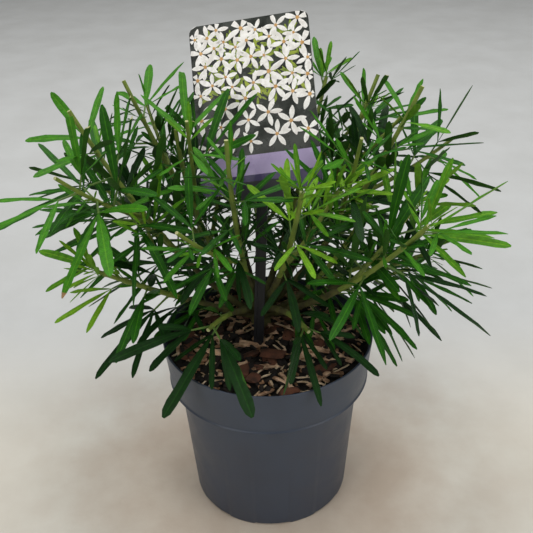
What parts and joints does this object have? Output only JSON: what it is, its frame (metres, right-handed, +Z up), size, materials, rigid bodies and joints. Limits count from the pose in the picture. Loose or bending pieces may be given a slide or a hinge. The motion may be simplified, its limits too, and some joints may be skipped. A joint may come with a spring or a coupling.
{
  "type": "potted choisya shrub",
  "caption": "Young evergreen choisya shrub with narrow palmate leaves on spreading stems, in a round grey nursery pot of bark compost with a picture card on a slim holder.",
  "frame": {"origin": "middle of the pot's flat underside, on the floor", "axes": "+Z up along the pot's axis, -Y towards the front where the picture card faces, +X to the right as seen from the front"},
  "size_m": [0.3851, 0.3434, 0.432],
  "materials": {
    "pot_plastic": "satin anthracite",
    "compost": "moist bark compost",
    "bark": "young green-brown bark",
    "foliage": "smooth dark green leaf",
    "young_foliage": "smooth bright green leaf",
    "card": "printed, semi-gloss",
    "holder_plastic": "black, satin"
  },
  "bodies": {
    "root": {"pot": "pot_plastic", "compost": "compost", "stem": "bark", "bough_left": "bark", "bough_back_left": "bark", "bough_label_left": "bark", "bough_front_left": "bark", "bough_front": "bark", "bough_front_right": "bark", "bough_right": "bark", "bough_upper_right": "bark", "bough_back_right": "bark", "bough_back": "bark", "bough_low_left": "bark", "bough_low_right": "bark", "bough_front_low_left": "bark", "bough_front_low_right": "bark", "bough_back_low_left": "bark", "bough_back_low_right": "bark", "bough_back_upper": "bark", "bough_back_low": "bark", "foliage_left": "foliage", "foliage_back_left": "foliage", "foliage_label_left": "foliage", "foliage_front_left": "foliage", "foliage_front": "young_foliage", "foliage_front_right": "foliage", "foliage_right": "young_foliage", "foliage_upper_right": "foliage", "foliage_back_right": "foliage", "foliage_back": "foliage", "foliage_low_left": "young_foliage", "foliage_low_right": "foliage", "foliage_front_low_left": "foliage", "foliage_front_low_right": "foliage", "foliage_back_low_left": "foliage", "foliage_back_low_right": "foliage", "foliage_back_upper": "foliage", "foliage_back_low": "foliage", "label_card": "card", "label_holder": "holder_plastic"}
  },
  "joints": []
}
